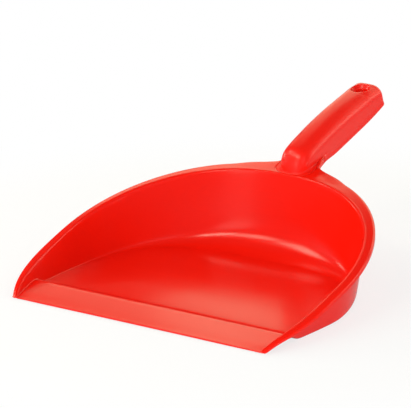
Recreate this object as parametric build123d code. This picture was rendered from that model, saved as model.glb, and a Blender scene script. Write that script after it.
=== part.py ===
import math
import os

from build123d import *

# Plan sizes of the pan, reaches measured back from the lip's leading edge
overall_length = 400.0
rim_width = 320.0
rim_narrowing = 18.5
rim_tip_reach = 2.0
widest_reach = 100.0
rim_back_reach = 264.5
flange_front = 4.5
flange_side = 10.0
flange_back = 15.5
wall_lean_front = 1.0
wall_lean_side = 6.0
wall_lean_back = 10.0
side_wall_reach = 150.0

# Powers of the plan curves along the sides and round the back
rim_side_power = 3.0
mouth_side_power = 3.2
floor_side_power = 2.0
back_power = 2.08

# Walls, cove and rim, the skirt's depth measured from the plane of the rim
floor_thickness = 2.5
wall_thickness = 2.6
cove_front = 2.5
cove_back = 32.0
cove_power = 3.0
rim_front_height = 6.6
rim_slope_degrees = 16.8
flange_thickness = 2.5
skirt_front_depth = 3.2
skirt_back_depth = 6.5
skirt_thickness = 2.4
tip_length = 10.0
tip_foot = 2.0
tip_radius = 7.0

# Front lip
lip_edge_height = 2.2
lip_edge_thickness = 1.6
lip_ramp_reach = 29.0
lip_ramp_height = 6.5
lip_crest_reach = 38.0
lip_crest_height = 7.6
lip_step_reach = 46.5
lip_step_height = 4.9
lip_back_reach = 54.5

# Handle, heights measured from the plane of the rim
grip_width = 32.0
grip_wall = 2.8
grip_setback = 2.5
grip_drop = 8.0
grip_rise_front = 19.5
grip_rise_middle = 24.0
grip_rise_end = 16.7
grip_end_lean = 6.0
grip_dome_radius = 16.0
grip_edge_radius = 12.5
grip_end_radius = 4.5

# Neck webs, lengths measured back from the rim and widths out from the grip
neck_length = 26.5
neck_width = 30.0
neck_waist_length = 13.5
neck_waist_width = 5.5
neck_meeting_degrees = 26.0

# Hanging hole, in a flat sunk below the crest of the grip
eye_from_end = 23.5
eye_bore = 14.0
eye_ring = 3.0
eye_depth = 5.5
eye_sink = 2.4

# Steps that the plan curves and the cove are divided into
side_steps = 6
back_steps = 10
cove_steps = 4

# Room that shapes take past what they cut, size of a cut through everything, and what counts as touching
margin = 6.0
whole = 2 * overall_length
touching = 0.01

lip_front = -rim_tip_reach
grip_end = overall_length - rim_tip_reach
grip_front = rim_back_reach - flange_back + grip_setback
grip_middle = (grip_front + grip_end) / 2
rim_rise = math.tan(math.radians(rim_slope_degrees))


def rim_height(y):
    return rim_front_height + rim_rise * y


def half_outline(front_half, widest_half, back_reach, side_power):
    """Right half of a plan outline, from ahead of the lip round to the middle of the back."""
    start = lip_front - margin
    points = []
    for step in range(side_steps):
        y = start + (widest_reach - start) * step / side_steps
        x = widest_half - (widest_half - front_half) * ((widest_reach - y) / widest_reach) ** side_power
        points.append((x, y))
    for step in range(back_steps):
        turn = math.pi / 2 * step / back_steps
        x = widest_half * math.cos(turn) ** (2 / back_power)
        y = widest_reach + (back_reach - widest_reach) * math.sin(turn) ** (2 / back_power)
        points.append((x, y))
    points.append((0.0, back_reach))
    return points


def outward(points):
    """Outward direction in plan at each point of a half outline."""
    directions = []
    for i in range(len(points)):
        before = points[max(i - 1, 0)]
        after = points[min(i + 1, len(points) - 1)]
        along = Vector(after[0] - before[0], after[1] - before[1]).normalized()
        directions.append(Vector(along.Y, -along.X))
    directions[-1] = Vector(0, 1)
    return directions


def grown(points, distance):
    """A half outline moved outward; its side stretch keeps its reaches, so the front stays square."""
    moved = []
    for (x, y), out in zip(points, outward(points)):
        if y < widest_reach:
            moved.append((x + distance / out.X, y))
        else:
            moved.append((x + distance * out.X, y + distance * out.Y))
    return moved


def closed_wire(half):
    """Whole outline from its right half: one smooth curve and a straight front."""
    left = [Vector(-p.X, p.Y, p.Z) for p in reversed(half[:-1])]
    curve = Edge.make_spline(half + left)
    front = Edge.make_line(curve @ 1, curve @ 0)
    return Wire([curve, front])


def within(half):
    """Everything inside a plan outline."""
    face = Face(closed_wire([Vector(x, y) for x, y in half]))
    return extrude(face, whole / 2, both=True)


def slab(top, bottom, deepening=0.0):
    """Space between two depths below the rim's plane; the lower depth may grow towards the back."""
    start = -whole / 2
    end = whole / 2
    corners = [
        (start, rim_height(start) - top),
        (end, rim_height(end) - top),
        (end, rim_height(end) - bottom - deepening * end),
        (start, rim_height(start) - bottom - deepening * start),
    ]
    return across([Polyline(*corners, close=True)])


def across(edges):
    """Side-view outline drawn out over the whole width."""
    return extrude(Plane.YZ * make_face(edges), rim_width, both=True)


def ahead_of(y):
    """Everything ahead of a reach."""
    return Pos(0, y - whole / 2, 0) * Box(whole, whole, whole)


def bowl(foot_half, mouth_half, foot_height, cove_extra):
    """Solid that fills the pan: its foot is rounded by the cove, its top stands above the rim's plane."""
    sections = [[] for _ in range(cove_steps + 2)]
    for foot, mouth, out in zip(foot_half, mouth_half, outward(foot_half)):
        corner = Vector(foot[0], foot[1], foot_height)
        edge = Vector(mouth[0], mouth[1], rim_height(mouth[1]))
        if foot[1] < widest_reach:
            out = Vector(1, 0)
        side = edge - corner
        opening = math.acos(side.normalized().dot(out))
        share = max(0.0, (foot[1] - lip_back_reach) / (foot_back - lip_back_reach))
        radius = cove_front + (cove_back - cove_front) * min(1.0, share) ** cove_power + cove_extra
        heel = corner - out * (radius * math.tan(opening / 2))
        for step in range(cove_steps + 1):
            turn = opening * step / cove_steps
            rise = Vector(0, 0, radius * (1 - math.cos(turn)))
            sections[step].append(heel + out * (radius * math.sin(turn)) + rise)
        over = (rim_height(corner.Y) + margin - corner.Z) / (side.Z - rim_rise * side.Y)
        sections[-1].append(corner + side * over)
    return Solid.make_loft([closed_wire(section) for section in sections], ruled=True), sections[0]


def lip_curve(drop, edge_height):
    """Lip in side view, from its leading edge over the crest and down to the floor."""
    points = [
        (lip_ramp_reach, lip_ramp_height - drop),
        (lip_crest_reach, lip_crest_height - drop),
        (lip_step_reach, lip_step_height - drop),
        (lip_back_reach, floor_thickness - drop),
    ]
    ramp = Line((0, edge_height), points[0])
    step = Spline(*points, tangents=[ramp % 1, (1, 0)])
    return [ramp, step]


def grip_block(inset, drop):
    """Grip with a rounded top, a domed front and a leaning end, drawn in by an inset; its lower edge
    lies this far below the rim's plane."""
    half = grip_width / 2 - inset
    front = grip_front + inset
    lean = grip_end_lean / (grip_rise_end + grip_drop)
    foot_end = grip_end - inset + lean * (drop - grip_drop)
    top_end = grip_end - inset - lean * (grip_rise_end - inset + grip_drop)
    crest = ThreePointArc(
        (front, rim_height(front) + grip_rise_front - inset),
        (grip_middle, rim_height(grip_middle) + grip_rise_middle - inset),
        (top_end, rim_height(top_end) + grip_rise_end - inset),
    )
    sides = Polyline(
        crest @ 1,
        (foot_end, rim_height(foot_end) - drop),
        (front, rim_height(front) - drop),
        crest @ 0,
    )
    face = make_face(crest + sides)
    dome_corner = face.vertices().sort_by_distance(crest @ 0)[0]
    face = fillet(dome_corner, grip_dome_radius - inset)
    block = extrude(Plane.YZ * face, half, both=True)
    rounded = []
    for edge in block.edges():
        on_side = abs(abs(edge.center().X) - half) < touching
        over_top = edge.geom_type == GeomType.CIRCLE or edge.center().Y < front + touching
        if on_side and over_top:
            rounded.append(edge)
    return fillet(rounded, grip_edge_radius - inset), crest


def neck_region(side):
    """Plan of one neck web, reaching under the grip and into the rim, which are cut away from it."""
    half = grip_width / 2
    neck_end = rim_back_reach + neck_length
    spread = half + neck_width
    across_share = spread / (rim_width / 2)
    back_depth = (rim_back_reach - widest_reach) * (1 - across_share**back_power) ** (1 / back_power)
    rim_point = (spread, widest_reach + back_depth)
    waist = (half + neck_waist_width, rim_back_reach + neck_waist_length)
    leaving = (1, -math.tan(math.radians(neck_meeting_degrees)))
    sweep_edge = Spline((half, neck_end), waist, rim_point, tangents=[(0, -1), leaving])
    rest = Polyline(
        rim_point,
        (spread, grip_front),
        (0, grip_front),
        (0, neck_end),
        (half, neck_end),
    )
    region = extrude(make_face(sweep_edge + rest), whole)
    if side < 0:
        region = mirror(region, Plane.YZ)
    return region


rim_front = rim_width / 2 - rim_narrowing
mouth_front = rim_front - flange_front
mouth_side = rim_width / 2 - flange_side
mouth_back = rim_back_reach - flange_back
foot_back = mouth_back - wall_lean_back
rim_half = half_outline(rim_front, rim_width / 2, rim_back_reach, rim_side_power)
mouth_half = half_outline(mouth_front, mouth_side, mouth_back, mouth_side_power)
foot_half = half_outline(
    mouth_front - wall_lean_front, mouth_side - wall_lean_side, foot_back, floor_side_power
)

cavity, heel = bowl(foot_half, mouth_half, floor_thickness, 0.0)
body, _ = bowl(grown(foot_half, wall_thickness), grown(mouth_half, wall_thickness), 0.0, wall_thickness)
within_heel = within([(point.X, point.Y) for point in heel])
within_mouth = within(mouth_half)
within_rim = within(rim_half)
within_skirt = within(grown(rim_half, -skirt_thickness))
above_rim = slab(-whole, 0.0)
under_ground = Pos(0, 0, -whole / 2) * Box(whole, whole, whole)
tip_space = ahead_of(tip_length) - ahead_of(lip_front)

# Front lip and floor
lip_top = lip_curve(0.0, lip_edge_height)
lip_under = lip_curve(floor_thickness, lip_edge_height - lip_edge_thickness)
lip_front_edge = Line(lip_top[0] @ 0, lip_under[0] @ 0)
lip_back_edge = Line(lip_top[1] @ 1, lip_under[1] @ 1)
lip_sheet = across(lip_top + lip_under + [lip_front_edge, lip_back_edge])
lip_hollow = across(
    lip_under
    + [
        Line(lip_under[0] @ 0, (0, -margin)),
        Line((0, -margin), (lip_back_reach, -margin)),
        Line((lip_back_reach, -margin), lip_under[1] @ 1),
    ]
)
front_lip = lip_sheet & within_heel
floor_sheet = Box(whole, whole, 2 * floor_thickness) - under_ground
pan_floor = (floor_sheet & within_heel) - ahead_of(lip_back_reach)

# Front ends of the rim, drawn down to the ground and rounded over
tip_under = [
    (tip_foot, 0),
    (tip_length, rim_height(tip_length) - skirt_front_depth),
    (tip_length, -margin),
    (tip_foot, -margin),
]
tip_wedge = across([Polyline(*tip_under, close=True)]) - within_mouth
lip_side = within_mouth & (lip_hollow + ahead_of(0))
tips = ((within_rim - cavity) + (lip_sheet & body)) & tip_space
tips = tips - within_heel - above_rim - under_ground - tip_wedge - lip_side
tip_fronts = tips.edges().group_by(Axis.Y)[0]
tip_tops = [edge for edge in tip_fronts if edge.center().Z > rim_height(lip_front) - touching]
tips = fillet(tip_tops, tip_radius)

# Wall in three stretches
wall = (body - cavity) + (lip_sheet & body)
wall = wall - within_heel - lip_hollow - slab(-whole, flange_thickness) - ahead_of(tip_foot) - tips
side_walls = wall & ahead_of(side_wall_reach)
back_wall = wall - ahead_of(side_wall_reach)
left_wall, right_wall = side_walls.solids().sort_by(Axis.X)

# Rim
flange = (within_rim & slab(0.0, flange_thickness)) - cavity - ahead_of(tip_length)
rim_flange = flange + tips
deepening = (skirt_back_depth - skirt_front_depth) / rim_back_reach
skirt_ring = (within_rim - within_skirt) & slab(flange_thickness, skirt_front_depth, deepening)
rim_skirt = skirt_ring - body - ahead_of(tip_length)

# Handle
grip_outer, crest = grip_block(0.0, grip_drop)
end_face = grip_outer.faces().sort_by(Axis.Y)[-1]
end_foot = rim_height(grip_end) - grip_drop
end_edges = [edge for edge in end_face.edges() if edge.center().Z > end_foot + touching]
grip_outer = fillet(end_edges, grip_end_radius)
grip_inner, _ = grip_block(grip_wall, grip_drop + margin)
under_rim = within_rim & slab(0.0, whole)

# Hanging eye, square to the crest of the grip
eye_reach = grip_end - eye_from_end
crest_middle = crest.arc_center
eye_lean = math.asin((eye_reach - crest_middle.X) / crest.radius)
eye_axis = Vector(0, math.sin(eye_lean), math.cos(eye_lean))
eye_spot = Vector(0, crest_middle.X, crest_middle.Y) + eye_axis * (crest.radius - eye_sink)
eye_plane = Plane(eye_spot, x_dir=(1, 0, 0), z_dir=eye_axis)
upward = (Align.CENTER, Align.CENTER, Align.MIN)
downward = (Align.CENTER, Align.CENTER, Align.MAX)
eye_radius = eye_bore / 2 + eye_ring
eye_ring_body = Cylinder(eye_radius, eye_depth, align=downward) - Cylinder(eye_bore / 2, whole)
hanging_eye = eye_plane * eye_ring_body
eye_seat = Cylinder(eye_radius, eye_depth, align=downward) + Cylinder(eye_radius, margin, align=upward)
handle_grip = grip_outer - grip_inner - under_rim - eye_plane * eye_seat

# Neck webs with their own turned-down edge
neck_webs = {}
for side, name in ((-1, "neck_web_left"), (1, "neck_web_right")):
    region = neck_region(side)
    edge_strip = region - Pos(-side * skirt_thickness, -skirt_thickness, 0) * region
    web_sheet = region & slab(0.0, flange_thickness)
    web_edge = edge_strip & slab(flange_thickness, skirt_back_depth)
    neck_webs[name] = web_sheet + web_edge - within_rim - grip_outer

nodes = {
    "front_lip": front_lip,
    "pan_floor": pan_floor,
    "left_wall": left_wall,
    "right_wall": right_wall,
    "back_wall": back_wall,
    "rim_flange": rim_flange,
    "rim_skirt": rim_skirt,
    "handle_grip": handle_grip,
    "hanging_eye": hanging_eye,
    **neck_webs,
}
to_middle = Pos(0, -(lip_front + grip_end) / 2, 0)
os.makedirs("parts", exist_ok=True)
for name, shape in nodes.items():
    export_step(to_middle * shape, f"parts/{name}.step")
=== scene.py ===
import math

import bmesh
import bpy
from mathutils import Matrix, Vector


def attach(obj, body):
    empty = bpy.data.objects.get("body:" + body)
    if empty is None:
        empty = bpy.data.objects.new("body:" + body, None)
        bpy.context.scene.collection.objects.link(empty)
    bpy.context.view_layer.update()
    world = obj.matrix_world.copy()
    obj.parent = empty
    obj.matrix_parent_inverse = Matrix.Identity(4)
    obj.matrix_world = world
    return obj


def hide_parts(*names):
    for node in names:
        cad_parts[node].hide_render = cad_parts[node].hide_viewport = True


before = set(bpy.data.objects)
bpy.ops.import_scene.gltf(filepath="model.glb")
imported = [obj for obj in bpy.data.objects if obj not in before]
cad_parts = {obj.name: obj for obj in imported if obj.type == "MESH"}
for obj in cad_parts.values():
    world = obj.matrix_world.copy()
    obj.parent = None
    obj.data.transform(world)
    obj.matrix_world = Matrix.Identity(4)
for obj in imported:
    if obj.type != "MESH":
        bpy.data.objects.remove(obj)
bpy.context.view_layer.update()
bpy.ops.object.select_all(action="DESELECT")
print("frame loaded,", len(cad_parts), "nodes")

# the sheet is laid out in millimetres, its reaches run back from the lip's edge
lipToMiddle = -198.0                        # the frame's origin lies 198 mm behind that edge
mm = 0.001
quarterTurn = math.pi / 2
tinyTurn = 1e-6
markNames = ("post", "ring", "level")       # each point of the mesh keeps its place in the layout
bayMark, endMark = 1000, 2000               # posts from here on: the grip's bays, its rounded end
middleRing = -9                             # ring number of the floor's middle line

panShape = {
    "widestReach": 100.0,
    "backPower": 2.10,
    "rim": (141.5, 160.0, 264.5, 3.0),      # half width at the lip, widest half, back reach, power
    "mouth": (137.4, 151.2, 249.0, 3.2),
    "foot": (136.8, 143.8, 239.0, 2.0),
    "footReaches": [0, 0.5, 1.1, 1.9, 3, 5, 8, 12, 16, 20, 24.5, 29, 33, 36, 38, 40.5, 43, 45, 47,
                    49, 51.5, 54.5, 58, 63, 70, 79, 89.5],
    "arcSteps": 22,
    "startRadius": 140.0,
    "floorTop": 2.5,
    "floorRise": 4.6,                       # the floor climbs this far behind the lip
    "riseFrom": 59.0,
    "riseReach": 75.0,
    "lateFrom": 10.0,                       # beside the walls, from here behind the widest place
    "lateReach": 80.0,
    "floorInsets": (2.0, 6.0, 16.0),
    "coveFront": 1.2,                       # radius between floor and wall
    "coveBack": 32.0,
    "covePower": 5.0,
    "coveShare": 0.45,                      # of the wall's height, at most
    "coveSteps": 5,
    "wallSteps": 4,
    "lipEdge": 2.2,
    "lipRamp": (29.0, 6.5),                 # reach and height where the straight ramp ends
    "lipStep": {33: 7.1, 36: 7.5, 38: 7.6, 40.5: 7.38, 43: 6.62, 45: 5.68, 47: 4.66, 49: 3.78,
                51.5: 2.95},
    "lipBack": 54.5,
    "cornerDip": 0.9,                       # the lip's two corners lie lower
    "dipReach": 15.0,
    "dipFrom": 112.0,
    "dipWidth": 22.0,
}


def smooth(share):
    share = min(1.0, max(0.0, share))
    return share * share * (3 - 2 * share)


def mix(a, b, share):
    return a + (b - a) * share


def outline(name, post):                    # point of a plan outline at a post
    front, wide, back, power = panShape[name]
    widest = panShape["widestReach"]
    kind, value = post
    if kind == "side":
        return Vector((wide - (wide - front) * ((widest - value) / widest) ** power, value, 0))
    if value > quarterTurn - tinyTurn:
        return Vector((0, back, 0))
    bend = 2 / panShape["backPower"]
    x, y = math.cos(value) ** bend, math.sin(value) ** bend
    return Vector((wide * x, widest + (back - widest) * y, 0))


def outwards(along):                        # plan direction at right angles to a line
    return Vector((along.y, -along.x, 0)).normalized()


def outlineNormal(name, post, nearEnd=0.005, nudge=0.004):
    kind, value = post
    if kind == "side" or value < nearEnd:
        return Vector((1, 0, 0))
    if value > quarterTurn - nearEnd:
        return Vector((0, 1, 0))
    return outwards(outline(name, (kind, value + nudge)) - outline(name, (kind, value - nudge)))


def roundCorner(corner, dirIn, dirOut, reach, steps, leastTurn=0.05):
    turn = dirIn.angle(dirOut)
    start = corner - dirIn * reach
    if turn < leastTurn:
        return [start.lerp(corner + dirOut * reach, i / steps) for i in range(steps + 1)]
    radius = reach / math.tan(turn / 2)
    side = (dirOut - dirIn * dirIn.dot(dirOut)).normalized()
    points = []
    for i in range(steps + 1):
        a = turn * i / steps
        points.append(start + dirIn * (radius * math.sin(a)) + side * (radius * (1 - math.cos(a))))
    return points


def floorRise(x, y):                        # the floor climbs behind the lip, later along the walls
    late = smooth((y - panShape["widestReach"] - panShape["lateFrom"]) / panShape["lateReach"])
    across = 1 - (1 - late) * min(1.0, abs(x) / panShape["foot"][1]) ** 2
    along = smooth((y - panShape["riseFrom"]) / panShape["riseReach"])
    return panShape["floorRise"] * across * along


def floorHeight(x, y):                      # lip and floor, with the dip at the lip's two corners
    reach, height = panShape["lipRamp"]
    if y <= reach:
        z = mix(panShape["lipEdge"], height, y / reach)
    elif y < panShape["lipBack"]:
        z = panShape["lipStep"][y]
    else:
        return panShape["floorTop"] + floorRise(x, y)
    across = smooth((abs(x) - panShape["dipFrom"]) / panShape["dipWidth"])
    return z - panShape["cornerDip"] * across * smooth(1 - y / panShape["dipReach"])


def footPoint(post):                        # where the wall meets the floor, or the lip higher up
    foot = outline("foot", post)
    foot.z = panShape["floorTop"] + floorRise(foot.x, foot.y)
    kind, reach = post
    if kind == "side" and reach < panShape["lipBack"]:
        wallTop = outline("mouth", post)
        wallTop.z = rimPlane(reach)
        share = (floorHeight(foot.x, reach) - foot.z) / (wallTop.z - foot.z)
        foot = foot.lerp(wallTop, share)
    return foot


rimShape = {
    "frontHeight": 6.6,
    "rise": math.tan(math.radians(16.8)),
    "droop": 1.5,                           # the flange falls this far to the outside
    "droopFrom": 40.0,
    "innerReach": 2.1,                      # of the rounding from the wall into the flange
    "innerReachAtGrip": 1.0,
    "innerShares": (0.42, 0.3),             # of the wall's height and the flange's width, at most
    "outerRadius": 2.2,
    "outerShares": (0.36, 0.9),             # of the flange's width and the skirt's depth, at most
    "gripRoom": 0.5,                        # share of the gap beside the grip that it may take
    "ringGap": 0.7,                         # keeps rings apart where a rounding runs out
    "leastReach": 0.01,
    "edgeSteps": 3,
    "skirtFront": 3.2,
    "skirtBack": 6.5,
    "rows": 12,                             # rows of faces across the flange
    "noseReaches": [-1.7, -1.9, -1.2, 0.2, 2.0, 4.5],
    "noseHeights": [1.1, 1.6, 2.3],
    "noseDepths": [2.4, 1.25, 1.9, 2.7],
    "noseTurns": [90, 53, 30, 11],          # how far the skirt there still points back, degrees
    "bendReach": 20.0,                      # the rim bends down to the lip's corners
    "bendDrop": 3.5,
    "bendPower": 2.2,
    "neckFrom": math.radians(68.0),         # turn round the back where the web to the grip starts
    "neckColumns": 10,
    "neckOutline": [(51.0, 259.7), (33.8, 265.6), (23.3, 270.0), (18.4, 276.2), (16.5, 284.0),
                    (16.0, 292.0)],
}


def rimPlane(y):
    return rimShape["frontHeight"] + rimShape["rise"] * y


def inRimPlane(flat):                       # a plan direction laid in the inclined plane of the rim
    return Vector((flat.x, flat.y, rimShape["rise"] * flat.y)).normalized()


def rimPoint(index, post):                  # reach and height that the rim has at a post
    reaches = rimShape["noseReaches"]
    y = reaches[index] if index < len(reaches) else post[1]
    if index < len(rimShape["noseHeights"]):
        return y, rimShape["noseHeights"][index]
    bend = max(0.0, 1 - max(y, 0.0) / rimShape["bendReach"]) ** rimShape["bendPower"]
    return y, rimPlane(y) - rimShape["bendDrop"] * bend


def splinePoint(points, share):             # smooth curve through plan points
    place = share * (len(points) - 1)
    i = min(int(place), len(points) - 2)
    t = place - i
    p1, p2 = points[i], points[i + 1]
    p0 = points[i - 1] if i > 0 else p1 * 2 - p2
    p3 = points[i + 2] if i + 2 < len(points) else p2 * 2 - p1
    return 0.5 * (2 * p1 + (p2 - p0) * t + (2 * p0 - 5 * p1 + 4 * p2 - p3) * t * t
                  + (3 * p1 - p0 - 3 * p2 + p3) * t ** 3)


gripShape = {
    "half": 16.0,
    "front": 251.5,
    "domeReach": 15.5,
    "domePower": 2.5,
    "domeSteps": 6,
    "neckEnd": 292.0,
    "neckSteps": 5,
    "settleReach": 16.0,                    # behind the neck, until the section has its own shape
    "drop": 8.0,                            # the sides hang this far below the rim's plane
    "sideDepths": [8.0, 5.4, 4.4, 2.6, 1.2],
    "hem": 0.4,                             # the lowest levels stand out by this
    "hemLevels": 2,
    "crest": [(251.5, 19.0), (324.75, 23.5), (392.0, 16.4)],    # reach, height over the rim's plane
    "crestLead": 1.2,                       # the dome's lines meet the crest ahead of its end,
    "crestGap": 0.4,                        # this far apart
    "topRadius": 11.6,
    "endRadius": 9.4,                       # the top gets flatter towards the eye
    "flatFrom": 348.0,
    "flatReach": 26.0,
    "crown": 0.9,
    "frontRound": 15.0,
    "lines": [16.0, 15.55, 14.3, 12.4, 10.1, 6.6, 3.3, 0.0],    # over the top, from its middle
    "fillets": [0.6, 0.7, 1.0, 1.5, 2.0, 2.4, 2.5, 2.5, 2.5, 2.3, 1.4, 0.0],    # round the foot
    "filletSteps": 3,
    "domeGap": 0.3,                         # share of the rim's ring gap at the dome's foot
    "sideSteps": 3,
    "bays": [296, 301, 307, 314, 322, 331, 340, 349, 357, 361.5, 365, 368.2, 371.4, 374.6, 377.8,
             381, 384.2, 385.2],
    "leanFrom": 330.0,
    "lean": 7.0,                            # the end's lower edge reaches further back than its top
    "liftFrom": 350.0,
    "lift": 2.4,                            # the lower edge curves up towards the end
    "endRound": (4.8, 6.8),                 # at the sides, at the top
    "endSteps": 4,
    "endInset": 0.55,
}


def crestHeight(y):                         # parabola through the three heights of the crest
    (a, ra), (b, rb), (c, rc) = gripShape["crest"]
    za, zb, zc = rimPlane(a) + ra, rimPlane(b) + rb, rimPlane(c) + rc
    return (za * (y - b) * (y - c) / ((a - b) * (a - c))
            + zb * (y - a) * (y - c) / ((b - a) * (b - c))
            + zc * (y - a) * (y - b) / ((c - a) * (c - b)))


def crestSlope(y):                          # over a millimetre
    return crestHeight(y + 0.5) - crestHeight(y - 0.5)


def topDrop(x, y=0.0):                      # how far the grip's top lies below the crest at x
    half = gripShape["half"]
    flat = smooth((y - gripShape["flatFrom"]) / gripShape["flatReach"])
    radius = mix(gripShape["topRadius"], gripShape["endRadius"], flat)
    fall = gripShape["crown"] * (x / half) ** 2
    past = x - (half - radius)
    if past <= 0:
        return fall
    return fall + (radius - math.sqrt(max(0.0, radius * radius - past * past)))


domeEnd = gripShape["front"] + gripShape["domeReach"]


def gripFoot():                             # half of the grip's outline on the flange
    foot = []
    half, steps = gripShape["half"], gripShape["domeSteps"]
    bend = 2 / gripShape["domePower"]
    for i in range(steps + 1):
        a = quarterTurn * i / steps
        ahead = gripShape["domeReach"] * max(0.0, math.cos(a)) ** bend
        foot.append(Vector((half * math.sin(a) ** bend, domeEnd - ahead, 0)))
    foot[0].x = 0.0
    for i in range(gripShape["neckSteps"]):
        share = (i + 1) / gripShape["neckSteps"]
        foot.append(Vector((half, mix(domeEnd, gripShape["neckEnd"], share), 0)))
    return foot


gripBase = gripFoot()
gripOut = [outwards(after - before) for before, after in
           zip(gripBase[:1] + gripBase[:-1], gripBase[1:] + gripBase[-1:])]
gripOut[0] = Vector((0, -1, 0))

# posts stand round half the pan, from the lip's corner to the middle of the back
posts = [("side", reach) for reach in panShape["footReaches"]]
neckFrom, neckColumns = rimShape["neckFrom"], rimShape["neckColumns"]
posts += [("arc", neckFrom * i / panShape["arcSteps"]) for i in range(panShape["arcSteps"])]
firstNeck = len(posts)
posts += [("arc", mix(neckFrom, quarterTurn, i / neckColumns)) for i in range(neckColumns + 1)]
lastPost = len(posts) - 1
neckLine = [outline("rim", posts[firstNeck])]
neckLine += [Vector((x, y, 0)) for x, y in rimShape["neckOutline"]]


def shareOfNeck(index):
    return (index - firstNeck) / neckColumns


def flangeEdges(index):                     # both edges, and which way floor and flange run there
    post = posts[index]
    if post[0] == "side":
        reach, height = rimPoint(index, post)
        mouth, rim = outline("mouth", ("side", reach)), outline("rim", ("side", reach))
        mouth.z = rim.z = height
        mouth.z += rimShape["droop"] * smooth(reach / rimShape["droopFrom"])
        return mouth, rim, Vector((1, 0, 0)), (rim - mouth).normalized()
    mouth, rim, droop = outline("mouth", post), outline("rim", post), rimShape["droop"]
    if index >= firstNeck:
        rim = splinePoint(neckLine, shareOfNeck(index))
        droop *= 1 - shareOfNeck(index)
    mouth.z, rim.z = rimPlane(mouth.y) + droop, rimPlane(rim.y)
    across = rim - mouth
    if index >= firstNeck:
        across = outlineNormal("mouth", post) * (panShape["rim"][2] - panShape["mouth"][2])
        across.z = rimShape["rise"] * across.y - droop
    return mouth, rim, outlineNormal("foot", post), across.normalized()


def skirtRounding(index, rim, flangeDir, width, nudge=0.01):    # from the rim down the skirt
    down, edgeDir, fullness = Vector((0, 0, -1)), flangeDir, 1.0
    depth = max(0.0, rim.y) / panShape["rim"][2]
    depth = mix(rimShape["skirtFront"], rimShape["skirtBack"], depth)
    if index < len(rimShape["noseTurns"]):
        turn = math.radians(rimShape["noseTurns"][index])
        down = Vector((0, math.sin(turn), -math.cos(turn)))
        depth = rimShape["noseDepths"][index]
    if index >= firstNeck:
        ahead = splinePoint(neckLine, min(1.0, shareOfNeck(index) + nudge))
        behind = splinePoint(neckLine, max(0.0, shareOfNeck(index) - nudge))
        edgeDir = inRimPlane(outwards(ahead - behind))
    reach = rimShape["outerRadius"] * math.tan(edgeDir.angle(down) / 2)
    if index >= firstNeck:
        room = rimShape["gripRoom"] * (rim.x - gripShape["half"])
        fullness = min(1.0, max(0.0, room) / reach)
        reach *= fullness
    else:
        ofWidth, ofDepth = rimShape["outerShares"]
        reach = min(reach, ofWidth * width, ofDepth * depth)
    if reach > rimShape["leastReach"]:
        points = roundCorner(rim, edgeDir, down, reach, rimShape["edgeSteps"])
    else:
        points = [rim.copy() for _ in range(rimShape["edgeSteps"] + 1)]
    gap = (1 - fullness) * rimShape["ringGap"]
    points = [point + down * (gap * i) for i, point in enumerate(points)]
    lowest = rim + down * depth
    return points + [points[-1].lerp(lowest, 0.5), lowest]


def postRings(index):                       # a post's points, from the floor out to the skirt
    mouth, rim, out, flangeDir = flangeEdges(index)
    foot = footPoint(posts[index])
    side, width = mouth - foot, (rim - mouth).length
    wallDir = side.normalized()
    back = (foot.y - panShape["lipBack"]) / (panShape["foot"][2] - panShape["lipBack"])
    back = max(0.0, back) ** panShape["covePower"]
    radius = mix(panShape["coveFront"], panShape["coveBack"], back)
    reach = min(radius * math.tan(out.angle(wallDir) / 2), panShape["coveShare"] * side.length)
    cove = roundCorner(foot, out, wallDir, reach, panShape["coveSteps"])
    ofWall, ofWidth = rimShape["innerShares"]
    reach = min(rimShape["innerReach"], ofWall * side.length, ofWidth * width)
    if index >= firstNeck:
        share = shareOfNeck(index) ** 2
        reach = mix(rimShape["innerReach"], rimShape["innerReachAtGrip"], share)
    inner = roundCorner(mouth, wallDir, flangeDir, reach, rimShape["edgeSteps"])
    outer = skirtRounding(index, rim, flangeDir, width)
    steps, rows = panShape["wallSteps"], rimShape["rows"]
    wall = [cove[-1].lerp(inner[0], i / steps) for i in range(1, steps)]
    flange = [inner[-1].lerp(outer[0], i / rows) for i in range(1, rows)]
    return cove + wall + inner + flange + outer


layout = [postRings(i) for i in range(lastPost + 1)]
ringCount = len(layout[0])
innerStart = panShape["coveSteps"] + panShape["wallSteps"]
innerEnd = innerStart + rimShape["edgeSteps"]       # the flat flange lies between these two rings
outerStart = innerEnd + rimShape["rows"]

# the neck's columns turn from straight across the flange to the outline of the grip's foot
rows = rimShape["rows"]
start, end = layout[firstNeck][innerEnd], layout[firstNeck][outerStart]
firstColumn = [start.lerp(end, j / rows) for j in range(rows + 1)]
lastColumn = [layout[lastPost][innerEnd]]
for base, out, fillet in zip(gripBase, gripOut, gripShape["fillets"]):
    lastColumn.append(base + out * fillet)
for index in range(firstNeck, lastPost + 1):
    low, high = layout[index][innerEnd], layout[index][outerStart]
    column = [mix(a, b, shareOfNeck(index)) for a, b in zip(firstColumn, lastColumn)]
    for j in range(1, rows):
        v = j / rows
        point = mix(low, high, v) + column[j] - (column[0] * (1 - v) + column[rows] * v)
        above = mix(low.z - rimPlane(low.y), high.z - rimPlane(high.y), v)
        layout[index][innerEnd + j] = Vector((point.x, point.y, rimPlane(point.y) + above))


def openSheet():                            # the mesh in edit mode, and the layers of its marks
    mesh = bmesh.from_edit_mesh(bpy.context.object.data)
    return mesh, [mesh.verts.layers.int[name] for name in markNames]


def lay(place, **marks):                    # puts the selected points where they belong
    mesh, layers = openSheet()
    for vert in mesh.verts:
        if vert.select:
            vert.co = place(*[vert[layer] for layer in layers])
            for name, value in marks.items():
                vert[layers[markNames.index(name)]] = value
    bmesh.update_edit_mesh(bpy.context.object.data)


def pull(place, **marks):                   # extrudes what is selected and lays the new points out
    bpy.ops.mesh.extrude_region_move()
    lay(place, **marks)


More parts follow.
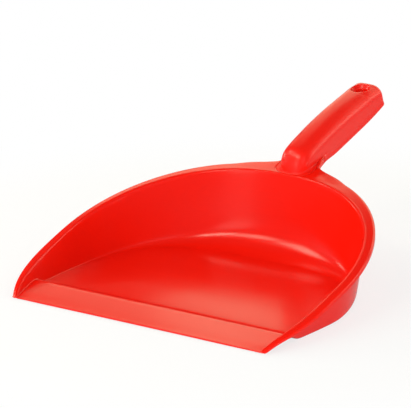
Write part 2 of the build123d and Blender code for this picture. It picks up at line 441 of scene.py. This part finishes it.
def squeeze(share):                         # extrudes what is selected, in towards the middle
    bpy.ops.mesh.extrude_region_move()
    bpy.ops.transform.resize(value=(share, 1, 1), center_override=(0, 0, 0))


def pick(test):                             # selects points by their marks
    mesh, layers = openSheet()
    bpy.ops.mesh.select_all(action="DESELECT")
    for vert in mesh.verts:
        vert.select = bool(test(*[vert[layer] for layer in layers]))
    mesh.select_flush_mode()
    bmesh.update_edit_mesh(bpy.context.object.data)


# pan: half of a circle becomes the line where the floor ends, and is pulled out ring by ring
bpy.ops.mesh.primitive_circle_add(vertices=2 * lastPost, radius=panShape["startRadius"])
shell = bpy.context.object
shell.vertex_groups.new(name="thick")
bpy.ops.object.mode_set(mode="EDIT")
bpy.ops.mesh.select_mode(type="VERT")
bpy.ops.mesh.select_all(action="SELECT")
bpy.ops.mesh.bisect(plane_co=(0, 0, 0), plane_no=(1, 0, 0), clear_inner=True, threshold=0.01)
mesh = bmesh.from_edit_mesh(shell.data)
for name in markNames:
    mesh.verts.layers.int.new(name)
mesh, (postLayer, ringLayer, levelLayer) = openSheet()
for number, vert in enumerate(sorted(mesh.verts, key=lambda v: v.co.y)):
    vert[postLayer] = number
    vert.co = layout[number][0]
bmesh.update_edit_mesh(shell.data)
print("posts:", lastPost + 1, "rings:", ringCount, "start points:", len(mesh.verts))

bpy.ops.mesh.select_all(action="SELECT")
for ring in range(1, ringCount):
    pull(lambda post, _ring, _level: layout[post][ring], ring=ring)


def floorPoint(post, inset):                # foot of the cove moved in over the floor
    start, out = layout[post][0], outlineNormal("foot", posts[post])
    x, y = start.x - out.x * inset, start.y - out.y * inset
    return Vector((x, y, floorHeight(x, y)))


pick(lambda post, ring, level: ring == 0)
for number, inset in enumerate(panShape["floorInsets"]):
    pull(lambda post, _ring, _level: floorPoint(post, inset), ring=-1 - number)
squeeze(0)                                  # rows run straight across to the middle
mesh, (postLayer, ringLayer, levelLayer) = openSheet()
for vert in mesh.verts:
    if vert.select:
        vert[ringLayer] = middleRing
        kind, reach = posts[vert[postLayer]]
        vert.co.z = floorHeight(0, reach if kind == "side" else vert.co.y)
bmesh.update_edit_mesh(shell.data)
print("pan pulled out")

# grip: pulled up from its foot on the flange and closed along the crest
topRound = topDrop(gripShape["half"])
fullFillet = max(gripShape["fillets"])


def gripTop(index):                         # reach at which a line up the grip meets the crest
    if index <= gripShape["domeSteps"]:
        return domeEnd - gripShape["crestLead"] + gripShape["crestGap"] * max(1, index)
    return gripBase[index].y


def gripPoint(index, step):
    base, out, fillet = gripBase[index], gripOut[index], gripShape["fillets"][index]
    filletSteps, sideSteps = gripShape["filletSteps"], gripShape["sideSteps"]
    if step <= filletSteps:
        a = quarterTurn * step / filletSteps
        flat = base + out * (fillet * (1 - math.sin(a)))
        gap = (1 - fillet / fullFillet) * rimShape["ringGap"] * step
        if index <= gripShape["domeSteps"]:
            gap *= gripShape["domeGap"]
        return Vector((flat.x, flat.y, rimPlane(flat.y) + (fillet * (1 - math.cos(a)) + gap)))
    end = gripTop(index)
    corner = Vector((base.x, base.y, crestHeight(end) + crestSlope(end) * (base.y - end)))
    behindDome = smooth(index / (gripShape["domeSteps"] + 1))
    roundHeight = mix(gripShape["frontRound"], topRound, behindDome)
    step -= filletSteps
    if step <= sideSteps:
        sideTop = corner - Vector((0, 0, roundHeight))
        return gripPoint(index, filletSteps).lerp(sideTop, step / sideSteps)
    x = gripShape["lines"][step - sideSteps]
    point = Vector((0, end, crestHeight(end))).lerp(corner, x / gripShape["half"])
    return point - Vector((0, 0, topDrop(x) * roundHeight / topRound))


sideLevels = gripShape["filletSteps"] + gripShape["sideSteps"]
pick(lambda post, ring, level: post == lastPost and innerEnd < ring <= outerStart and level == 0)
for step in range(1, sideLevels + len(gripShape["lines"])):
    pull(lambda _post, ring, _level: gripPoint(ring - innerEnd - 1, step), level=step)
print("grip raised")

# the grip's free length: the section at the neck's end is pulled back bay by bay,
# its levels are counted up from the lower edge of the side
pick(lambda post, ring, level: post == lastPost and ring >= outerStart)
mesh, (postLayer, ringLayer, levelLayer) = openSheet()
neckSection = {}
for vert in mesh.verts:
    if vert.select:
        vert[levelLayer] = vert[levelLayer] + ringCount - vert[ringLayer]
        neckSection[vert[levelLayer]] = vert.co.copy()
topLevel = max(neckSection)
cornerLevel = ringCount - outerStart


def sectionPoint(bay, level):               # one point of the grip's section at a bay
    bays, x = gripShape["bays"], gripShape["half"]
    top = bays[bay]
    lean = smooth((top - gripShape["leanFrom"]) / (bays[-1] - gripShape["leanFrom"]))
    foot = top + gripShape["lean"] * lean
    settle = smooth((top - gripShape["neckEnd"]) / gripShape["settleReach"])
    drop = mix(rimPlane(gripShape["neckEnd"]) - neckSection[1].z, gripShape["drop"], settle)
    late = max(0.0, (top - gripShape["liftFrom"]) / (bays[-1] - gripShape["liftFrom"]))
    low = Vector((0, foot, rimPlane(foot) - drop + gripShape["lift"] * late ** 2))
    high = Vector((0, top, crestHeight(top)))
    tall = (high - low).length
    neckRise = neckSection[level].z - neckSection[1].z
    if level < cornerLevel:
        depth = gripShape["sideDepths"][level - 1] * drop / gripShape["drop"]
        rise = mix(neckRise, drop - depth, settle)
        if level <= gripShape["hemLevels"]:
            x += gripShape["hem"] * settle
    elif level <= cornerLevel + sideLevels:
        share = (level - cornerLevel) / sideLevels
        rise = mix(neckRise, mix(drop, tall - topDrop(x, top), share), settle)
    else:
        x = gripShape["lines"][level - cornerLevel - sideLevels]
        rise = tall - topDrop(x, top)
    return low.lerp(high, rise / tall) + Vector((x, 0, 0))


bayCount = len(gripShape["bays"])
for bay in range(bayCount):
    pull(lambda _post, _ring, level: sectionPoint(bay, level), post=bayMark + bay, ring=0)

lastBay = [sectionPoint(bayCount - 1, level) for level in range(1, topLevel + 1)]
upward = lastBay[-1] - lastBay[0]
upward.x = 0
upward.normalize()
backward = Vector((0, upward.z, -upward.y))


def endPoint(level, a):                     # rounding from the grip's length into its end
    sideRadius, topRadius = gripShape["endRound"]
    inward = -upward
    if level < topLevel:
        along = lastBay[level] - lastBay[max(level - 2, 0)]
        inward = Vector((-abs(along.dot(upward)), 0, 0)) + upward * min(0.0, along.x)
        inward.normalize()
    radius = mix(sideRadius, topRadius, smooth(-inward.dot(upward)))
    back, turned = sideRadius * math.sin(a), radius * (1 - math.cos(a))
    return lastBay[level - 1] + backward * back + inward * turned


endSteps = gripShape["endSteps"]
for step in range(1, endSteps + 1):
    a = quarterTurn * step / endSteps
    pull(lambda _post, _ring, level: endPoint(level, a), post=endMark + step)
squeeze(gripShape["endInset"])
squeeze(0)
print("grip pulled back and closed at its end")

# hanging eye: faces of the top are taken out, the gap is rounded to a circle
# and turned down into a bore
eyeShape = {
    "from": 365.0,                          # two of the grip's bays
    "to": 384.2,
    "lines": 3,                             # lines of the top that the hole takes in, each side
    "mouthRadius": 10.1,
    "rings": [(9.75, 0.05), (9.4, 0.18), (8.7, 0.43), (7.9, 0.70), (7.3, 0.89), (7.0, 1.0)],
    "sink": 4.4,                            # each ring has a radius and its share of this depth
    "boreRadius": 7.0,
    "boreDepths": (6.0, 7.9),
}
firstLine = topLevel - eyeShape["lines"]
eyeMiddle = (eyeShape["from"] + eyeShape["to"]) / 2
firstEye, lastEye = [bayMark + gripShape["bays"].index(eyeShape[name]) for name in ("from", "to")]
pick(lambda post, ring, level: firstEye <= post <= lastEye and level >= firstLine)
bpy.ops.mesh.delete(type="FACE")
eyeBack = Vector((0, 1, crestSlope(eyeMiddle))).normalized()
eyeUp = Vector((0, -eyeBack.z, eyeBack.y))


def eyeTurn(post, level):                   # angle round the eye, from ahead of it to behind it
    across, along = eyeShape["lines"], lastEye - firstEye
    if post == firstEye:
        steps = topLevel - level
    elif post == lastEye:
        steps = across + along + level - firstLine
    else:
        steps = across + post - firstEye
    return -quarterTurn + math.pi * steps / (2 * across + along)


def eyePoint(post, level, radius, share=0.0, depth=0.0):
    turn = eyeTurn(post, level)
    x = 0.0 if abs(abs(turn) - quarterTurn) < tinyTurn else radius * math.cos(turn)
    y = eyeMiddle + radius * math.sin(turn)
    onTop = Vector((x, y, crestHeight(y) - topDrop(x, y)))
    middle = Vector((0, eyeMiddle, crestHeight(eyeMiddle)))
    sunk = middle + Vector((x, 0, 0)) + eyeBack * (radius * math.sin(turn)) - eyeUp * depth
    return onTop.lerp(sunk, share)


pick(lambda post, ring, level: (post in (firstEye, lastEye) and level >= firstLine)
     or (firstEye <= post <= lastEye and level == firstLine))
lay(lambda post, _ring, level: eyePoint(post, level, eyeShape["mouthRadius"]))
for radius, share in eyeShape["rings"]:
    pull(lambda post, _ring, level: eyePoint(post, level, radius, share, eyeShape["sink"]))
for depth in eyeShape["boreDepths"]:
    pull(lambda post, _ring, level: eyePoint(post, level, eyeShape["boreRadius"], 1.0, depth))
print("eye turned down")

# every face goes to the pan, the rim or the grip
mesh, layers = openSheet()
for face in mesh.faces:
    marks = [[vert[layer] for layer in layers] for vert in face.verts]
    onPan = all(ring <= innerEnd + 1 and level == 0 and post <= lastPost
                for post, ring, level in marks)
    onGrip = all(post >= lastPost - 1 and (ring > innerEnd or post > lastPost or level > 0)
                 for post, ring, level in marks)
    face.material_index = 0 if onPan else 2 if onGrip else 1

sheetShape = {
    "thickness": 2.5,
    "rimShare": 0.68,                       # of that thickness in the rim
    "lipShare": 0.64,                       # at the lip's edge, and full from its reach on
    "lipReach": 29.0,
    "tipShare": 0.36,                       # at the rim's two tips, gaining over their reach
    "tipGain": 0.4,
    "tipReach": 34.0,
    "tipFrom": 118.0,
    "tipWidth": 14.0,
    "leastShare": 0.3,
    "mergeGap": 0.004,
    "edgeRound": 0.55,
    "edgeSegments": 3,
}


def thickShare(place, onRim):
    x, y, _z = place
    lipShare, tipFrom, tipReach = [sheetShape[name] for name in ("lipShare", "tipFrom", "tipReach")]
    share = sheetShape["rimShare"] if onRim else 1.0
    share = min(share, lipShare + (1 - lipShare) * y / sheetShape["lipReach"])
    if x > tipFrom and y < tipReach:
        atTip = sheetShape["tipShare"] + sheetShape["tipGain"] * max(0.0, y) / tipReach
        share = mix(share, min(share, atTip), smooth((x - tipFrom) / sheetShape["tipWidth"]))
    return max(sheetShape["leastShare"], share)


weight = mesh.verts.layers.deform.verify()
for vert in mesh.verts:
    post, ring, level = [vert[layer] for layer in layers]
    vert[weight][0] = thickShare(vert.co, ring >= innerStart and level == 0 and post <= lastPost)
bmesh.update_edit_mesh(shell.data)
bpy.ops.mesh.select_all(action="SELECT")
bpy.ops.mesh.remove_doubles(threshold=sheetShape["mergeGap"])
bpy.ops.mesh.select_all(action="SELECT")
bpy.ops.mesh.normals_make_consistent(inside=False)
mesh = bmesh.from_edit_mesh(shell.data)
flatFloor = max(mesh.faces, key=lambda f: f.calc_area())
if flatFloor.normal.z < 0:
    bpy.ops.mesh.flip_normals()
bpy.ops.transform.translate(value=(0, lipToMiddle, 0))
bpy.ops.transform.resize(value=(mm, mm, mm), center_override=(0, 0, 0))
bpy.ops.object.mode_set(mode="OBJECT")
print("half shell:", len(shell.data.polygons), "faces")


def mathNode(tree, operation, *values):     # a value is a number, or the socket that gives it
    node = tree.nodes.new("ShaderNodeMath")
    node.operation = operation
    for socket, value in zip(node.inputs, values):
        if isinstance(value, float):
            socket.default_value = value
        else:
            tree.links.new(value, socket)
    return node.outputs[0]


def rangeNode(tree, value, fromPair=(0, 1), toPair=(0, 1), curve="LINEAR"):
    node = tree.nodes.new("ShaderNodeMapRange")
    node.interpolation_type = curve
    for name, pair in (("From", fromPair), ("To", toPair)):
        node.inputs[name + " Min"].default_value, node.inputs[name + " Max"].default_value = pair
    tree.links.new(value, node.inputs["Value"])
    return node.outputs[0]


def noiseNode(tree, place, scale, detail):
    node = tree.nodes.new("ShaderNodeTexNoise")
    node.inputs["Scale"].default_value = scale
    node.inputs["Detail"].default_value = detail
    tree.links.new(place, node.inputs["Vector"])
    return node.outputs["Fac"]


def mixShaders(tree, share, first, second):
    node = tree.nodes.new("ShaderNodeMixShader")
    for socket, value in zip(node.inputs, (share, first, second)):
        tree.links.new(value, socket)
    return node.outputs["Shader"]


plasticLook = {
    "red": (0.88, 0.010, 0.0025, 1),
    "deepRed": (0.80, 0.006, 0.0015, 1),
    # roughness and streaks of each finish
    "finishes": {"red_pan": (0.14, 0.5), "red_rim": (0.12, 0.3), "red_grip": (0.25, 0.2)},
    "cloud": (14.0, 3.0),                   # scale and detail
    "streak": (1.0, 4.0),
    "streakStretch": (18.0, 420.0, 420.0),
    "streakTurn": (0.0, 0.0, 0.12),
    "grain": (1400.0, 2.0),
    "cloudShare": 0.5,
    "roughSpread": 0.10,
    "streakRipple": 0.35,
    "bumpStrength": 0.06,
    "bumpDistance": 0.0002,
    "ior": 1.49,
}


def mouldedSkin():                          # mottle, flow streaks and ripple of moulded plastic
    group = bpy.data.node_groups.new("mouldedSkin", "ShaderNodeTree")
    for inOut, kind, names in (("INPUT", "NodeSocketColor", ("Red", "Deep Red")),
                               ("INPUT", "NodeSocketFloat", ("Roughness", "Streaks")),
                               ("OUTPUT", "NodeSocketColor", ("Color",)),
                               ("OUTPUT", "NodeSocketFloat", ("Gloss", "Height"))):
        for name in names:
            group.interface.new_socket(name=name, in_out=inOut, socket_type=kind)
    nodes, links = group.nodes, group.links
    given, made = nodes.new("NodeGroupInput").outputs, nodes.new("NodeGroupOutput").inputs
    place = nodes.new("ShaderNodeTexCoord").outputs["Object"]
    stretch = nodes.new("ShaderNodeMapping")
    stretch.inputs["Scale"].default_value = plasticLook["streakStretch"]
    stretch.inputs["Rotation"].default_value = plasticLook["streakTurn"]
    links.new(place, stretch.inputs["Vector"])
    cloud = noiseNode(group, place, *plasticLook["cloud"])
    streak = noiseNode(group, stretch.outputs["Vector"], *plasticLook["streak"])
    grain = noiseNode(group, place, *plasticLook["grain"])
    flow = mathNode(group, "MULTIPLY", streak, given["Streaks"])
    mottle = mathNode(group, "MULTIPLY_ADD", cloud, plasticLook["cloudShare"], flow)
    tint = nodes.new("ShaderNodeMix")
    tint.data_type = "RGBA"
    links.new(mottle, tint.inputs["Factor"])
    links.new(given["Red"], tint.inputs["A"])
    links.new(given["Deep Red"], tint.inputs["B"])
    links.new(tint.outputs["Result"], made["Color"])
    rough = mathNode(group, "MULTIPLY_ADD", mottle, plasticLook["roughSpread"], given["Roughness"])
    links.new(rough, made["Gloss"])
    ripple = mathNode(group, "MULTIPLY_ADD", flow, plasticLook["streakRipple"], grain)
    links.new(ripple, made["Height"])
    return group


def redPlastic(name, roughness, streaks):
    material = bpy.data.materials.new(name)
    material.use_nodes = True
    nodes, links = material.node_tree.nodes, material.node_tree.links
    shader = nodes["Principled BSDF"]
    shader.inputs["IOR"].default_value = plasticLook["ior"]
    skin = nodes.new("ShaderNodeGroup")
    skin.node_tree = skinGroup
    skin.inputs["Red"].default_value = plasticLook["red"]
    skin.inputs["Deep Red"].default_value = plasticLook["deepRed"]
    skin.inputs["Roughness"].default_value = roughness
    skin.inputs["Streaks"].default_value = streaks
    bump = nodes.new("ShaderNodeBump")
    bump.inputs["Strength"].default_value = plasticLook["bumpStrength"]
    bump.inputs["Distance"].default_value = plasticLook["bumpDistance"]
    links.new(skin.outputs["Color"], shader.inputs["Base Color"])
    links.new(skin.outputs["Gloss"], shader.inputs["Roughness"])
    links.new(skin.outputs["Height"], bump.inputs["Height"])
    links.new(bump.outputs["Normal"], shader.inputs["Normal"])
    return material


skinGroup = mouldedSkin()
for name, finish in plasticLook["finishes"].items():        # in the order of the faces' numbers
    shell.data.materials.append(redPlastic(name, *finish))


def addModifier(piece, kind, **values):
    bpy.context.view_layer.objects.active = piece
    modifier = piece.modifiers.new(kind.lower(), kind)
    for name, value in values.items():
        setattr(modifier, name, value)
    bpy.ops.object.modifier_apply(modifier=modifier.name)


addModifier(shell, "MIRROR", use_axis=(True, False, False), use_clip=True,
            merge_threshold=0.01 * mm)
addModifier(shell, "SUBSURF", levels=1, render_levels=1, boundary_smooth="PRESERVE_CORNERS")

# free edges are marked for rounding, then the sheet is parted and each piece gets its wall
bpy.ops.object.select_all(action="DESELECT")
shell.select_set(True)
bpy.ops.object.mode_set(mode="EDIT")
bpy.ops.mesh.select_mode(type="EDGE")
bpy.ops.mesh.select_all(action="DESELECT")
bpy.ops.mesh.select_non_manifold()
bpy.ops.transform.edge_bevelweight(value=1.0)
bpy.ops.mesh.select_all(action="SELECT")
bpy.ops.mesh.separate(type="MATERIAL")
bpy.ops.object.mode_set(mode="OBJECT")
pieceNames = {"red_pan": "pan_shell", "red_rim": "rim_band", "red_grip": "grip_shell"}
pieces = {}
for piece in list(bpy.context.selected_objects):
    material = piece.data.materials[piece.data.polygons[0].material_index]
    piece.data.materials.clear()
    piece.data.materials.append(material)
    piece.name = pieceNames[material.name]
    pieces[piece.name] = piece

for piece in pieces.values():
    bpy.ops.object.select_all(action="DESELECT")
    piece.select_set(True)
    addModifier(piece, "SOLIDIFY", thickness=sheetShape["thickness"] * mm, offset=-1.0,
                use_quality_normals=True, vertex_group="thick", thickness_vertex_group=0.05)
    addModifier(piece, "BEVEL", width=sheetShape["edgeRound"] * mm, limit_method="WEIGHT",
                segments=sheetShape["edgeSegments"], use_clamp_overlap=True)
    bpy.ops.object.shade_smooth()
    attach(piece, "root")
    print(piece.name, len(piece.data.polygons), "faces")
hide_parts("front_lip", "pan_floor", "left_wall", "right_wall", "back_wall")
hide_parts("rim_flange", "rim_skirt", "neck_web_left", "neck_web_right")
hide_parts("handle_grip", "hanging_eye")

# stage: a pale floor that keeps the shadow, in a studio that is white to look at
# and dim in reflections
floorLook = {
    "from": (-1.2, -1.0),
    "to": (1.2, 1.5),
    "below": 0.0005,
    "paper": (0.92, 0.92, 0.92, 1),
    "roughness": 0.9,
    "shadowShare": 0.24,            # of the floor near the object is lit, the rest plain white
    "shadowReach": (0.30, 0.48),
    "glossShare": 0.36,             # of the lit paper shows in reflections
    "glossFront": (-0.32, -0.20),   # from here back, and none of it in front
    "glossBehind": 0.66,            # the same behind the pan, where the grip mirrors it
    "behindFrom": (0.10, 0.30),
    "stripHalf": (0.05, 0.26),      # a glowing strip painted along the floor's middle, seen only in reflections, shows in the back wall
    "stripLight": 0.55,
}


def lightRays(tree):                # all rays, and 1 for those that see the background itself
    rays = tree.nodes.new("ShaderNodeLightPath").outputs
    return rays, mathNode(tree, "MAXIMUM", rays["Is Camera Ray"], rays["Is Transmission Ray"])


def whitePaper():
    paper = bpy.data.materials.new("white_paper")
    paper.use_nodes = True
    tree = paper.node_tree
    nodes, links = tree.nodes, tree.links
    sheet = nodes["Principled BSDF"]
    sheet.inputs["Base Color"].default_value = floorLook["paper"]
    sheet.inputs["Roughness"].default_value = floorLook["roughness"]
    rays, direct = lightRays(tree)
    place = nodes.new("ShaderNodeTexCoord").outputs["Object"]
    away = nodes.new("ShaderNodeVectorMath")
    away.operation = "LENGTH"
    links.new(place, away.inputs[0])
    spot = nodes.new("ShaderNodeSeparateXYZ")
    links.new(place, spot.inputs[0])
    x, y = spot.outputs["X"], spot.outputs["Y"]
    # what the camera sees turns plain white away from the object
    nearWhite, glossShare = 1 - floorLook["shadowShare"], floorLook["glossShare"]
    fade = rangeNode(tree, away.outputs["Value"], floorLook["shadowReach"], (nearWhite, 1),
                     "SMOOTHSTEP")
    seen = mathNode(tree, "MULTIPLY", direct, fade)
    # what reflections show changes from front to back
    ahead = rangeNode(tree, y, floorLook["glossFront"], (1, 1 - glossShare))
    behind = rangeNode(tree, y, floorLook["behindFrom"], (0, floorLook["glossBehind"] - glossShare))
    alongFloor = mathNode(tree, "SUBTRACT", ahead, behind)
    mirrored = mathNode(tree, "MULTIPLY", rays["Is Glossy Ray"], alongFloor)
    amount = mathNode(tree, "MAXIMUM", seen, mirrored)
    # a glowing strip painted along the floor's middle, which only reflections see
    sideways = mathNode(tree, "ABSOLUTE", x)
    strip = rangeNode(tree, sideways, floorLook["stripHalf"], (floorLook["stripLight"], 0),
                      "SMOOTHSTEP")
    glow = nodes.new("ShaderNodeEmission")
    links.new(mathNode(tree, "MAXIMUM", direct, strip), glow.inputs["Strength"])
    surface = mixShaders(tree, amount, sheet.outputs["BSDF"], glow.outputs["Emission"])
    links.new(surface, nodes["Material Output"].inputs["Surface"])
    return paper


bpy.ops.object.select_all(action="DESELECT")
bpy.ops.mesh.primitive_plane_add(size=1.0)
floor = bpy.context.object
floor.name = "studio_floor"
(left, front), (right, back) = floorLook["from"], floorLook["to"]
bpy.ops.object.mode_set(mode="EDIT")
bpy.ops.mesh.select_all(action="SELECT")
bpy.ops.transform.resize(value=(right - left, back - front, 1), center_override=(0, 0, 0))
bpy.ops.transform.translate(value=((left + right) / 2, (front + back) / 2, -floorLook["below"]))
bpy.ops.object.mode_set(mode="OBJECT")
floor.data.materials.append(whitePaper())
print("floor laid")

worldLook = {
    "light": (0.74, 0.22),          # at the horizon, overhead
    "white": (1, 1, 1, 1),
    "studio": (0.8, 0.8, 0.8, 1),   # what reflections show
    "studioLight": (0.04, 0.45),    # of it: overhead and in front, low down behind
    "behindFrom": (-0.15, 0.35),    # directions along y between which it gets brighter
    "lowFrom": (0.22, 0.08),        # and along z
}
world = bpy.data.worlds.new("studio")
bpy.context.scene.world = world
world.use_nodes = True
tree = world.node_tree
soft = tree.nodes["Background"]
white = tree.nodes.new("ShaderNodeBackground")
studio = tree.nodes.new("ShaderNodeBackground")
for node, color in ((soft, "white"), (white, "white"), (studio, "studio")):
    node.inputs["Color"].default_value = worldLook[color]
rays, direct = lightRays(tree)
axes = tree.nodes.new("ShaderNodeSeparateXYZ")
tree.links.new(tree.nodes.new("ShaderNodeTexCoord").outputs["Generated"], axes.inputs[0])
climb = rangeNode(tree, axes.outputs["Z"], toPair=worldLook["light"])
tree.links.new(climb, soft.inputs["Strength"])
behind = rangeNode(tree, axes.outputs["Y"], worldLook["behindFrom"], curve="SMOOTHSTEP")
low = rangeNode(tree, axes.outputs["Z"], worldLook["lowFrom"], curve="SMOOTHSTEP")
lowBehind = mathNode(tree, "MULTIPLY", behind, low)
studioLight = rangeNode(tree, lowBehind, toPair=worldLook["studioLight"])
tree.links.new(studioLight, studio.inputs["Strength"])
unseen = mixShaders(tree, rays["Is Glossy Ray"], soft.outputs[0], studio.outputs[0])
surface = mixShaders(tree, direct, unseen, white.outputs[0])
tree.links.new(surface, tree.nodes["World Output"].inputs["Surface"])

lampTints = {"panel": (1.0, 0.96, 0.65), "fill": (1.0, 0.99, 0.97), "box": (1.0, 0.97, 0.76)}
lampSetup = {           # place, aim, width, height and power of each soft box, metres and watts
    "keySoftbox": ((-1.04, -0.42, 1.14), (0, 0.0, 0.05), 0.50, 0.32, 2.7),
    "bridgeStrip": ((-0.62, -0.86, 1.17), (0, 0.0, 0.05), 0.40, 0.20, 1.6),
    "topStrip": ((-0.06, -1.07, 1.18), (0, 0.0, 0.05), 0.6, 0.2, 4.0),
    "leftBox": ((-1.42, 0.0, 0.45), (0, 0.0, 0.06), 0.3, 0.14, 1.3),
    "frontStrip": ((-0.10, -1.55, 0.40), (0, 0.0, 0.06), 0.5, 0.70, 0.7),
    "backPanel": ((-0.125, 0.65, 0.345), (-0.125, 0.0, 0.345), 0.95, 0.35, 1.41),
    "upperPanel": ((-0.09, 0.65, 0.62), (-0.09, 0.0, 0.62), 0.88, 0.20, 0.58),
    "middlePanel": ((-0.605, 0.65, 0.77), (-0.605, 0.0, 0.77), 0.15, 0.50, 0.37),
    "leftPanel": ((-0.86, 0.65, 0.77), (-0.86, 0.0, 0.77), 0.36, 0.50, 0.32),
    "flangePanel": ((-0.80, 0.64, 0.535), (-0.80, 0.0, 0.535), 0.30, 0.07, 0.13),
    "shoulderLight": ((1.07, 1.06, 0.42), (0, 0.1, 0.1), 0.6, 0.30, 1.1),
    "shoulderGlow": ((1.15, 1.15, 0.66), (0, 0.1, 0.1), 1.0, 1.0, 2.6),
    "rightFill": ((1.2, -0.9, 0.9), (0, 0.0, 0.05), 1.0, 0.8, 6.8),
    "lowFill": ((2.4, 0.3, 0.12), (0, 0.0, 0.05), 1.0, 0.16, 14.0),
    "leftFill": ((-1.4, -0.4, 0.50), (0, 0.0, 0.05), 0.8, 0.6, 6.0),
    "frontFill": ((-0.1, -1.5, 0.45), (0, 0.0, 0.05), 0.8, 0.6, 5.2),
}


def turnTo(thing, place, aim):
    thing.rotation_euler = (Vector(aim) - Vector(place)).to_track_quat("-Z", "Y").to_euler()


for name, (place, aim, width, height, power) in lampSetup.items():
    kind = "panel" if "Panel" in name else "fill" if "Fill" in name else "box"
    bpy.ops.object.light_add(type="AREA", location=place)
    lamp = bpy.context.object
    lamp.name = name
    lamp.data.shape = "RECTANGLE"
    lamp.data.size = width
    lamp.data.size_y = height
    lamp.data.energy = power
    lamp.data.color = lampTints[kind]
    lamp.visible_camera = False
    lamp.visible_glossy = kind != "fill"                # fills only light
    lamp.visible_diffuse = "shoulder" not in name       # these two only show in reflections
    turnTo(lamp, place, aim)

# camera at the photograph's angle
cameraSetup = {
    "azimuth": 34.5537,
    "elevation": 17.9318,
    "distance": 4.2,
    "lens": 394.35,
    "sensor": 36.0,
    "clipEnd": 50.0,
    "target": (0.0, -0.07667, 0.028),
    "aimRight": -0.0059,
    "aimUp": 0.0549,
}
azimuth, elevation = [math.radians(cameraSetup[name]) for name in ("azimuth", "elevation")]
toRight = Vector((math.cos(azimuth), math.sin(azimuth), 0))
flat, height = math.cos(elevation), math.sin(elevation)
towardCamera = Vector((math.sin(azimuth) * flat, -math.cos(azimuth) * flat, height))
toTop = towardCamera.cross(toRight)
target = Vector(cameraSetup["target"])
cameraSpot = target + towardCamera * cameraSetup["distance"]
aimSpot = target + toRight * cameraSetup["aimRight"] + toTop * cameraSetup["aimUp"]
bpy.ops.object.camera_add(location=cameraSpot)
camera = bpy.context.object
camera.data.lens = cameraSetup["lens"]
camera.data.sensor_width = cameraSetup["sensor"]
camera.data.sensor_fit = "HORIZONTAL"
camera.data.clip_end = cameraSetup["clipEnd"]
turnTo(camera, cameraSpot, aimSpot)
bpy.context.scene.camera = camera
bpy.context.scene.view_settings.view_transform = "Standard"
print("stage, lamps and camera set")
